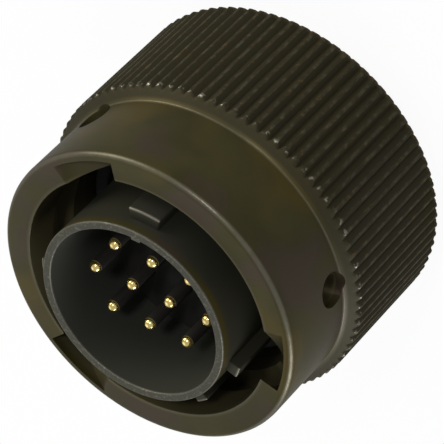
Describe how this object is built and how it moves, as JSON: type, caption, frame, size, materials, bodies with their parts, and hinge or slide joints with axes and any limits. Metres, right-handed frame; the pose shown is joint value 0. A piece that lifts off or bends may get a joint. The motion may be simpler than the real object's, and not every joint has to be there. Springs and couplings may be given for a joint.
{
  "type": "circular connector plug",
  "caption": "Circular plug connector: keyed barrel with gold contact pins inside a knurled bayonet coupling ring with helical grooves.",
  "frame": {"origin": "on the axis at the rear end of the plug shell, which the part stands on", "axes": "+Z along the axis towards the mating end, +Y through the barrel's main key"},
  "size_m": [0.043, 0.043, 0.0375],
  "materials": {
    "olive_plate": "olive drab plating, satin",
    "shell_plate": "olive drab plating, satin, worn at the rim",
    "spring_steel": "plain",
    "hard_insulator": "matte moulded",
    "soft_insulator": "matte",
    "seal_rubber": "matte",
    "gold_contact": "gold plated"
  },
  "bodies": {
    "plug": {"plug_shell": "shell_plate", "front_insert": "hard_insulator", "rear_insert": "soft_insulator", "insert_retainer": "spring_steel", "flange_seal": "seal_rubber", "rear_washer": "spring_steel", "snap_ring": "spring_steel", "wave_washer_1": "spring_steel", "wave_washer_2": "spring_steel", "wave_washer_3": "spring_steel", "contact_pin_a": "gold_contact", "contact_pin_b": "gold_contact", "contact_pin_c": "gold_contact", "contact_pin_d": "gold_contact", "contact_pin_e": "gold_contact", "contact_pin_f": "gold_contact", "contact_pin_g": "gold_contact", "contact_pin_h": "gold_contact", "contact_pin_i": "gold_contact", "contact_pin_j": "gold_contact"},
    "spring_washer": {"thrust_washer": "spring_steel"},
    "ring": {"coupling_ring": "olive_plate"}
  },
  "joints": [
    {"name": "ring_float", "type": "slide", "parent": "plug", "child": "spring_washer", "axis": [0, 0, 1], "range_m": [0, 0.0006], "stiffness_N_per_m": 1500, "springref_m": -0.001, "deforming": ["wave_washer_1", "wave_washer_2", "wave_washer_3"]},
    {"name": "ring_turn", "type": "hinge", "parent": "spring_washer", "child": "ring", "pos_m": [0, 0, 0.012], "axis": [0, 0, 1], "continuous": true}
  ]
}
